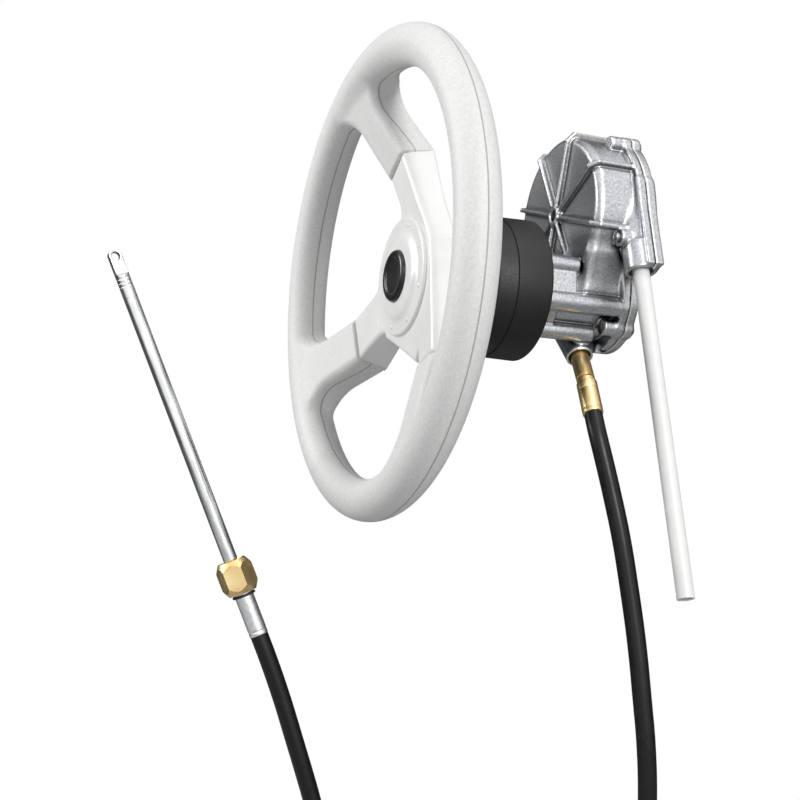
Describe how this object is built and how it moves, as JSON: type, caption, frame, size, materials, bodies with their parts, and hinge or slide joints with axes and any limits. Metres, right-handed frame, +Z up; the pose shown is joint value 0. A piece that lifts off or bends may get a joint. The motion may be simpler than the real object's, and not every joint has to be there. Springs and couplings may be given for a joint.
{
  "type": "boat steering helm",
  "caption": "Boat steering helm: spoked wheel on a tapered shaft, round dash bezel, rotary gearbox with a cable drum, and a push-pull cable that ends in a sliding ram with a coupling nut.",
  "frame": {"origin": "on the wheel shaft, in the plane where the bezel meets the dash and the gearbox", "axes": "+Y along the shaft from the wheel to the gearbox, +X to the driver's right, +Z up"},
  "size_m": [0.35, 0.3695, 0.6537],
  "materials": {
    "grip": "soft white polyurethane, satin",
    "gloss_white": "glossy white moulding",
    "hub_dark": "black painted steel",
    "gloss_black": "glossy black, bare",
    "bezel_black": "black moulding, fine satin",
    "cast_aluminium": "die-cast, matt grey",
    "steel": "machined",
    "stainless": "polished along its length",
    "bronze": "sintered bronze",
    "brass": "turned, satin",
    "gasket": "black rubber",
    "tube_white": "natural white plastic tube",
    "jacket": "black plastic jacket, satin",
    "tie_black": "black plastic"
  },
  "bodies": {
    "base": {"bezel": "bezel_black", "bezel_plate": "cast_aluminium", "bezel_screws": "steel", "front_bush": "bronze", "helm_housing": "cast_aluminium", "cover_gasket": "gasket", "rear_cover": "cast_aluminium", "cover_screws": "steel", "rear_bush": "bronze", "drum_axle": "steel", "drum_washer": "bronze", "core_wire": "steel", "inlet_ferrule": "brass", "crimp_sleeve": "brass", "ferrule_screw": "steel", "spent_tube": "tube_white", "tube_screw": "steel", "cable_helm_run": "jacket", "cable_coil": "jacket", "coil_ties": "tie_black", "cable_ram_run": "jacket", "end_sleeve": "stainless", "seal_ring": "gasket", "guide_tube": "stainless"},
    "wheel": {"rim_grip": "grip", "wheel_armature": "steel", "wheel_hub": "hub_dark", "hub_spider": "gloss_white", "hub_ring": "gloss_white", "centre_cap": "gloss_black", "wheel_nut": "steel", "wheel_washer": "steel", "drive_key": "steel", "input_shaft": "steel", "pinion": "steel", "shaft_clip": "steel"},
    "drum": {"drum_gear": "cast_aluminium", "drum_bush": "bronze"},
    "nut": {"coupling_nut": "brass"},
    "ram": {"ram": "stainless", "ram_core": "steel"}
  },
  "joints": [
    {"name": "wheel_turn", "type": "hinge", "parent": "base", "child": "wheel", "pos_m": [0, 0, 0], "axis": [0, 1, 0], "range_deg": [0, 990]},
    {"name": "drum_turn", "type": "hinge", "parent": "base", "child": "drum", "pos_m": [0, 0, 0.062], "axis": [0, 1, 0], "range_deg": [-238, 0]},
    {"name": "ram_slide", "type": "slide", "parent": "base", "child": "ram", "axis": [0.0343, -0.4005, 0.9157], "range_m": [0, 0.2075]},
    {"name": "nut_turn", "type": "hinge", "parent": "base", "child": "nut", "pos_m": [-0.112, -0.179, -0.207], "axis": [0.0343, -0.4005, 0.9157], "continuous": true}
  ],
  "couplings": [
    {"joint": "drum_turn", "follows": "wheel_turn", "ratio": -0.24},
    {"joint": "ram_slide", "follows": "wheel_turn", "m_per_rad": 0.012}
  ]
}
